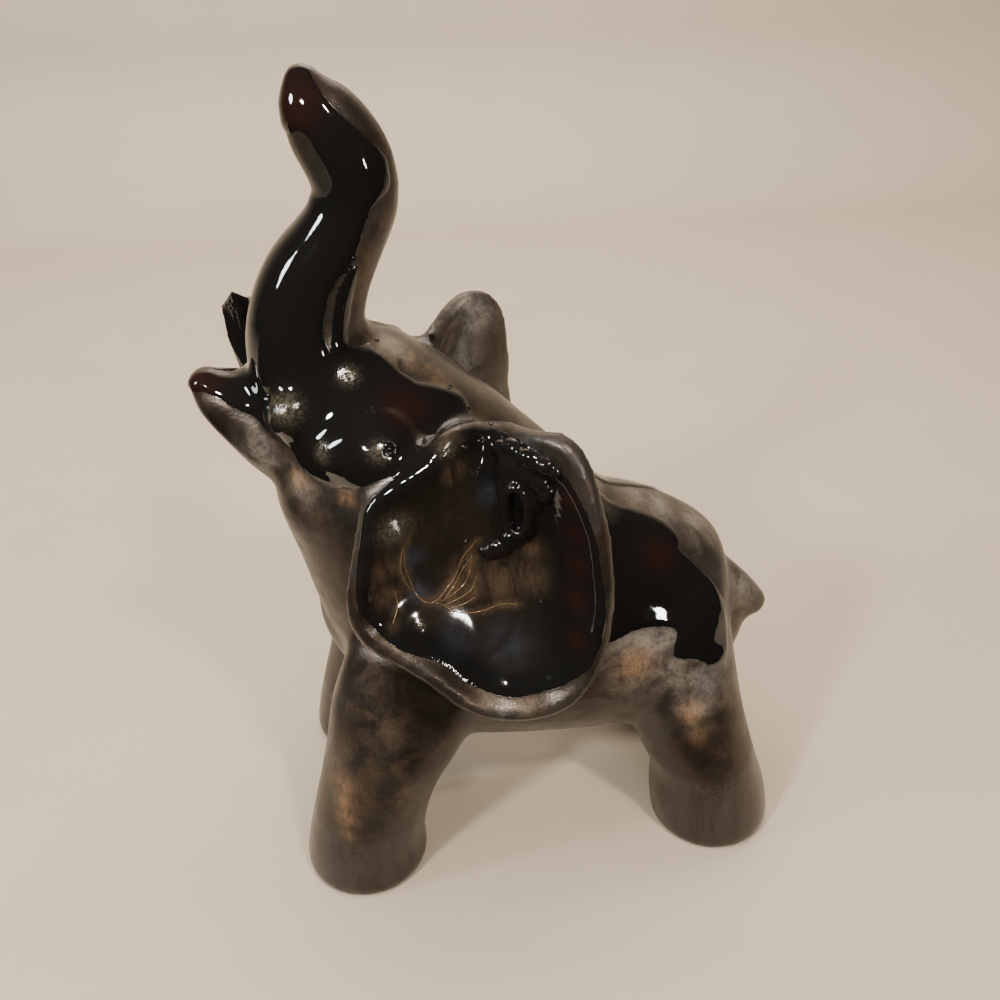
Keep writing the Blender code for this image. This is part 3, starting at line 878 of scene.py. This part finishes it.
def table_material(colours):
    """The plain floor and backdrop."""
    # Matt laminate. To the eye it is an even, pale surface with no mirror image in it.
    material, tree, shader = new_material("Matt table laminate")
    place = node(tree, "TexCoord", {}, "Object")
    clouds = node(tree, "TexNoise", {"Vector": place, "Scale": 1000.0 / 60.0, "Detail": 4.0})
    shade = node(tree, "MapRange", {0: clouds, 1: 0.35, 2: 0.65, 4: 0.25})
    darker = tuple(0.88 * part for part in colours.table)
    base = node(tree, "Mix", {0: shade, 6: colours.table, 7: darker}, 2, data_type="RGBA")
    connect(tree, shader, Base_Color=base, Roughness=0.55)
    return material


class ELEPHANT_OT_body(bpy.types.Operator):
    """Joins the limbs into one cast skin and lays the glazes on it"""
    bl_idname = "elephant.body"
    bl_label = "Cast and glaze the body"

    def execute(self, context):
        sizes = context.scene.elephant_sizes
        limbs = [
            limb("barrel", BARREL), limb("trunk", NECK_TO_TRUNK), limb("crown", CROWN),
            limb("jaw", JAW), limb("tail", TAIL), limb("tusk root", TUSK_ROOT),
            ball("left tusk root", LEFT_TUSK_ROOT),
        ]
        for side in (1.0, -1.0):
            limbs.append(leg("front leg", FRONT_LEG, FRONT_FOOT, side))
            limbs.append(leg("hind leg", HIND_LEG, HIND_FOOT, side))
            limbs.append(ball("cheek", CHEEK, side))
            limbs.append(ball("eye swell", EYE_SWELL, side))
        cups = []
        for side in (1.0, -1.0):
            shell = ear("ear", side)
            cups.append(search_tree(shell))
            apply_modifier(shell, "SOLIDIFY", thickness=sizes.ear_wall, offset=-1.0)
            limbs.append(shell)
        skin = join(limbs, "glazed_figurine")
        apply_modifier(skin, "REMESH", mode="VOXEL", voxel_size=sizes.skin_grid)
        for swell in (sizes.fillet, -sizes.fillet):
            apply_modifier(skin, "DISPLACE", mid_level=0.0, strength=swell)
            apply_modifier(skin, "REMESH", mode="VOXEL", voxel_size=sizes.skin_grid)
        apply_modifier(skin, "SMOOTH", factor=0.5, iterations=8)
        shift = self.stand_on_frame(skin)
        self.lay_glazes(skin, cups, shift, sizes)
        finish_piece(skin, skin_material(context.scene.elephant_colours))
        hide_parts(NODE)
        return {"FINISHED"}

    def stand_on_frame(self, skin):
        """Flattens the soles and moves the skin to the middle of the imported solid's box."""
        places = vertex_array(skin)
        low, high = (np.array(corner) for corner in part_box(NODE))
        sole = places[:, 2].min() + SOLE_TRIM * MM
        places[:, 2] = np.maximum(places[:, 2], sole)
        shift = (low + high) / 2 - (places.min(0) + places.max(0)) / 2
        shift[2] = low[2] - sole
        set_vertices(skin, places + shift)
        return shift

    def lay_glazes(self, skin, cups, shift, sizes):
        """Writes the glazes' places into the skin and raises the thick one."""
        places = vertex_array(skin)
        normals = vertex_array(skin, "normal")
        mm = places / MM
        set_attribute(skin, "stands_out", convexity(skin, STANDING_OUT_ROUNDS))
        film, in_ear = self.find_film(places, cups, shift)
        film = even_out(skin, film[:, None], FILM_ROUNDS, in_ear)[:, 0]
        mist = MIST * in_ear * smooth_step(*MIST_ALONG, mm[:, 1]) * smooth_step(*MIST_DEPTH, film)
        set_attribute(skin, "mist", mist)
        set_attribute(skin, "film", film)
        pad_top = np.where(mm[:, 1] < 0, PAD_TOP_FRONT, PAD_TOP_HIND)
        set_attribute(skin, "pad", smooth_step(*PAD_EDGE, pad_top - mm[:, 2]))
        self.lay_tints(skin, mm, in_ear & (mm[:, 0] > 0))
        for x, y, z, reach, rise in SWELLS:
            places = places + normals * (rise * MM * fall_off(mm - [x, y, z], reach))[:, None]
        height = (sizes.glaze_film * smooth_step(*EDGE_RISE, film)
                  + sizes.glaze_lip * np.exp(-((film - EDGE_RISE[1]) / LIP_WIDTH) ** 2))
        set_vertices(skin, places + normals * height[:, None])

    def find_film(self, places, cups, shift):
        """How far each place lies inside the black glaze, in mm, and whether it is on an ear."""
        mm, shift_mm = places / MM, shift / MM
        film = np.full(len(mm), OUTSIDE)
        in_ear = np.zeros(len(mm), bool)
        for side, cup in zip((1.0, -1.0), cups):
            out = side * mm[:, 0]
            near = out > EAR_ROOT
            gap = np.full(len(mm), FAR)
            gap[near] = distance_to(cup, places[near] - shift) / MM
            local = mm - shift_mm if side > 0 else left_ear_fellow(mm - shift_mm)
            inside = signed_distance((local + shift_mm)[:, 1:], EAR_GLAZE)
            film = np.maximum(film, np.minimum(inside, (EAR_SKIN - gap) * 2))
            in_ear |= (gap < EAR_NEAR) & (inside > EAR_SURROUND) & (out > EAR_SIDE)
        head = signed_distance(mm[:, 1:], HEAD_GLAZE)
        bare_half = np.interp(mm[:, 1], *np.array(CROWN_BARE).T)
        low, high = CROWN_HEIGHTS
        crown = (mm[:, 1] > CROWN_FRONT) & (mm[:, 2] > low) & (mm[:, 2] < high)
        head = np.where(crown, np.minimum(head, np.abs(mm[:, 0]) - bare_half), head)
        cheek, back = RIGHT_HEAD
        head = np.where(mm[:, 0] < cheek, np.minimum(head, back - mm[:, 1]), head)
        film = np.where(in_ear & (mm[:, 1] > FOLD), film, np.maximum(film, head))
        down_side = BARREL_RADIUS * np.arctan2(np.abs(mm[:, 0]), mm[:, 2] - BARREL_AXIS_HEIGHT)
        rump = signed_distance(np.stack([mm[:, 1], down_side], 1), RUMP_GLAZE)
        return np.where(in_ear, film, np.maximum(film, rump)), in_ear

    def lay_tints(self, skin, mm, in_left_ear):
        """Writes the tints into the skin, with amber along the threads and dark low legs."""
        for name, blobs in TINTS.items():
            tint = np.zeros(len(mm))
            for x, y, z, reach in blobs:
                tint = np.maximum(tint, fall_off(mm - [x, y, z], reach))
            if name == "amber":
                for y, z in (spot for path in THREADS for spot in smooth_rows(path)):
                    halo = fall_off(mm[:, 1:] - [y, z], THREAD_HALO)
                    tint = np.maximum(tint, in_left_ear * THREAD_AMBER * halo)
            if name == "dark":
                tint = np.maximum(tint, LOW_DARK * smooth_step(*LOW_DARK_HEIGHTS, mm[:, 2]))
            set_attribute(skin, name, tint)


class ELEPHANT_OT_tusk(bpy.types.Operator):
    """Sets the broken right tusk, with its angular top, into its root"""
    bl_idname = "elephant.tusk"
    bl_label = "Set the broken tusk"

    def execute(self, context):
        rings = [[Vector(corner) for corner in corners] for corners in TUSK_RINGS]
        tusk = sphere_through("right_tusk", rings)
        apply_modifier(tusk, "BEVEL", width=TUSK_EDGE * MM, segments=3)
        apply_modifier(tusk, "REMESH", mode="VOXEL", voxel_size=TUSK_GRID * MM)
        apply_modifier(tusk, "SMOOTH", factor=0.5, iterations=4)
        finish_piece(tusk, glaze_material(context.scene.elephant_colours))
        return {"FINISHED"}


class ELEPHANT_OT_ear_glaze(bpy.types.Operator):
    """Lays the lumps, beads and threads of run glaze in the left ear and on the crown"""
    bl_idname = "elephant.ear_glaze"
    bl_label = "Lay the run glaze"

    def execute(self, context):
        colours = context.scene.elephant_colours
        tree = search_tree(bpy.data.objects["glazed_figurine"])
        clump = melt([blob(row, tree) for row in CLUMP] + [self.crater(tree)],
                     "ear_glaze_clump", CLUMP_GRID, rounds=10)
        finish_piece(clump, glaze_material(colours))
        beads = melt([blob(row, tree) for row in BEADS], "glaze_beads", BEAD_GRID, rounds=2)
        finish_piece(beads, glaze_material(colours))
        threads = join([self.thread(path, tree) for path in THREADS], "ear_glaze_threads")
        finish_piece(threads, run_material(colours))
        return {"FINISHED"}

    def crater(self, tree):
        """The ring of the crater: a thin torus drawn out to an oval, then thickened evenly."""
        middle, half_width, half_height, wall, height = CRATER
        bpy.ops.mesh.primitive_torus_add(
            major_segments=48, minor_segments=16, major_radius=MM, minor_radius=THIN * MM)
        crater = name_new("crater")
        for vertex in crater.data.vertices:
            away = Vector((vertex.co.x, vertex.co.y, 0.0)).normalized()
            offset = (vertex.co / MM - away) / THIN * wall
            vertex.co = Vector((away.x * half_width, away.y * half_height, height)) + offset
        crater.data.transform(lying_on_skin(middle, tree) @ Matrix.Scale(MM, 4))
        return crater

    def thread(self, path, tree):
        """A thread of glaze along (y, z) places on the inside of the left ear."""
        spots = []
        for y, z in smooth_rows(path, steps=8):
            hit = tree.ray_cast(Vector((BESIDE, y, z)) * MM, Vector((-1, 0, 0)))[0]
            spots.append(hit / MM)
        last = len(spots) - 1
        rings = []
        for index, spot in enumerate(spots):
            run = (spots[min(index + 1, last)] - spots[max(index - 1, 0)]).normalized()
            taper = math.sin(math.pi * (index + 1) / (last + 2)) ** 0.35
            swell = 1.0 + 0.25 * math.sin(2.3 * index)
            radius = THREAD_RADIUS * taper * swell
            rings.append(ring(spot, ring_axes(run), radius, radius, sides=10))
        return sphere_through("thread", rings)


class ELEPHANT_OT_eyes(bpy.types.Operator):
    """Presses the two small ringed eyes into the cheeks"""
    bl_idname = "elephant.eyes"
    bl_label = "Set the eyes"

    def execute(self, context):
        tree = search_tree(bpy.data.objects["glazed_figurine"])
        for side, name in ((1.0, "left_eye"), (-1.0, "right_eye")):
            point = Vector((side * EYE_PLACE[0], EYE_PLACE[1], EYE_PLACE[2])) * MM
            place, out = tree.find_nearest(point)[:2]
            turn = out.to_track_quat("Z", "Y").to_euler()
            bpy.ops.mesh.primitive_torus_add(
                location=place, rotation=turn, major_segments=40, minor_segments=14,
                major_radius=EYE_RING * MM, minor_radius=EYE_RING_WALL * MM)
            rim = name_new("rim")
            bpy.ops.object.transform_apply(location=True, rotation=True, scale=True)
            ball_place = place / MM - out * EYE_DEPTH
            bpy.ops.mesh.primitive_uv_sphere_add(segments=24, ring_count=16, radius=EYE_BALL * MM)
            pupil = name_new("pupil")
            pupil.data.transform(Matrix.Translation(ball_place * MM))
            eye = melt([rim, pupil], name, EYE_GRID, rounds=3)
            finish_piece(eye, glaze_material(context.scene.elephant_colours))
        return {"FINISHED"}


class ELEPHANT_OT_stage(bpy.types.Operator):
    """Sets out the pale floor, the lamps and the camera"""
    bl_idname = "elephant.stage"
    bl_label = "Set the stage"

    def execute(self, context):
        material = table_material(context.scene.elephant_colours)
        for name, back, front, left, right, wall, in_reflections in (
                ("stage_sweep", TABLE_BACK, FLOOR_BACK, -TABLE_EDGE, TABLE_EDGE, WALL_HEIGHT, True),
                ("stage_middle", FLOOR_BACK, FLOOR_FRONT, FLOOR_LEFT, TABLE_EDGE, 0.0, True),
                ("stage_side", FLOOR_BACK, FLOOR_FRONT, -TABLE_EDGE, FLOOR_LEFT, 0.0, False),
                ("stage_apron", FLOOR_FRONT, TABLE_EDGE, -TABLE_EDGE, TABLE_EDGE, 0.0, False)):
            bpy.ops.mesh.primitive_plane_add(size=1.0)
            floor = name_new(name)
            floor.data.transform(Matrix.Translation(((back + front) / 2, (left + right) / 2, 0))
                                 @ Matrix.Diagonal((front - back, right - left, 1, 1)))
            if wall:
                self.raise_wall(floor, back, wall)
            floor.data.materials.append(material)
            make_active(floor)
            bpy.ops.object.shade_smooth()
            floor.visible_glossy = in_reflections
        self.world(context)
        self.lamps(context)
        self.camera(context)
        return {"FINISHED"}

    def raise_wall(self, floor, back, height):
        """Draws the floor's back edge up into a wall and rounds the bend between them."""
        make_active(floor)
        bpy.ops.object.mode_set(mode="EDIT")
        bpy.ops.mesh.select_mode(type="EDGE")
        bpy.ops.mesh.select_all(action="DESELECT")
        bpy.ops.object.mode_set(mode="OBJECT")
        for edge in floor.data.edges:
            ends = [floor.data.vertices[index].co for index in edge.vertices]
            edge.select = all(end.x < back + 0.01 for end in ends)
        bpy.ops.object.mode_set(mode="EDIT")
        bpy.ops.mesh.extrude_region_move(TRANSFORM_OT_translate={"value": (0.0, 0.0, height)})
        bpy.ops.object.mode_set(mode="OBJECT")
        apply_modifier(floor, "BEVEL", width=WALL_BEND, segments=12)

    def world(self, context):
        """A pale world that only the camera sees: the lamps alone light the figure."""
        world = bpy.data.worlds.new("studio")
        world.use_nodes = True
        background = world.node_tree.nodes["Background"]
        background.inputs["Color"].default_value = (1.0, 0.93, 0.85, 1.0)
        background.inputs["Strength"].default_value = 0.42
        world.cycles_visibility.glossy = False
        world.cycles_visibility.diffuse = False
        context.scene.world = world

    def lamps(self, context):
        """Soft lamps round the figure, and one that lights the wall alone."""
        for name, azimuth, elevation, distance, size, power, colour, in_reflections in LAMPS:
            turn, lift = math.radians(azimuth), math.radians(elevation)
            away = Vector((math.sin(turn) * math.cos(lift), -math.cos(turn) * math.cos(lift),
                           math.sin(lift)))
            self.lamp(context, name, LAMP_TARGET + away * distance, -away, size, power, colour,
                      in_reflections)
        wash = self.lamp(context, "wall wash", Vector((-0.22, 0.0, 0.95)), Vector((-0.43, 0.0, -0.35)),
                         (1.0, 0.4), 21.0, (1.0, 0.96, 0.91), False)
        wash.visible_camera = False

    def lamp(self, context, name, place, direction, size, power, colour, in_reflections):
        data = bpy.data.lights.new(name, "AREA")
        data.shape = "ELLIPSE"
        data.size, data.size_y = size
        data.energy = power
        data.color = colour
        lamp = bpy.data.objects.new(name, data)
        context.scene.collection.objects.link(lamp)
        lamp.location = place
        lamp.rotation_euler = direction.to_track_quat("-Z", "Y").to_euler()
        lamp.visible_glossy = in_reflections
        return lamp

    def camera(self, context):
        """The photograph's viewpoint, with a lens as long as its frame is wide."""
        data = bpy.data.cameras.new("camera")
        data.sensor_width = 36.0
        data.lens = 36.0
        data.clip_start = 0.02
        camera = bpy.data.objects.new("camera", data)
        context.scene.collection.objects.link(camera)
        pitch, roll = math.radians(CAMERA_PITCH), math.radians(CAMERA_ROLL)
        level_forward = Vector((-CAMERA_RIGHT.y, CAMERA_RIGHT.x, 0.0))
        forward = level_forward * math.cos(pitch) + DOWN * math.sin(pitch)
        lower = forward.cross(CAMERA_RIGHT)
        right = CAMERA_RIGHT * math.cos(roll) + lower * math.sin(roll)
        lower = forward.cross(right)
        turn = Matrix((right, -lower, -forward)).transposed()
        camera.matrix_world = Matrix.Translation(CAMERA_PLACE) @ turn.to_4x4()
        context.scene.camera = camera


class ELEPHANT_PT_panel(bpy.types.Panel):
    """The figurine's sizes, colours and steps"""
    bl_idname = "ELEPHANT_PT_panel"
    bl_label = "Lustre glazed elephant"
    bl_space_type = "VIEW_3D"
    bl_region_type = "UI"
    bl_category = "Elephant"

    def draw(self, context):
        for group in (context.scene.elephant_sizes, context.scene.elephant_colours):
            for key in group.__annotations__:
                self.layout.prop(group, key)
        for operator in OPERATORS:
            self.layout.operator(operator.bl_idname)


OPERATORS = (ELEPHANT_OT_body, ELEPHANT_OT_tusk, ELEPHANT_OT_ear_glaze, ELEPHANT_OT_eyes,
             ELEPHANT_OT_stage)
CLASSES = (ElephantSizes, ElephantColours, *OPERATORS, ELEPHANT_PT_panel)


def register():
    for item in CLASSES:
        bpy.utils.register_class(item)
    bpy.types.Scene.elephant_sizes = bpy.props.PointerProperty(type=ElephantSizes)
    bpy.types.Scene.elephant_colours = bpy.props.PointerProperty(type=ElephantColours)


def unregister():
    del bpy.types.Scene.elephant_colours
    del bpy.types.Scene.elephant_sizes
    for item in reversed(CLASSES):
        bpy.utils.unregister_class(item)


def main():
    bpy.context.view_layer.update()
    deselect()
    register()
    bpy.ops.elephant.body()
    bpy.ops.elephant.tusk()
    bpy.ops.elephant.ear_glaze()
    bpy.ops.elephant.eyes()
    bpy.ops.elephant.stage()
    deselect()


if __name__ == "__main__":
    main()
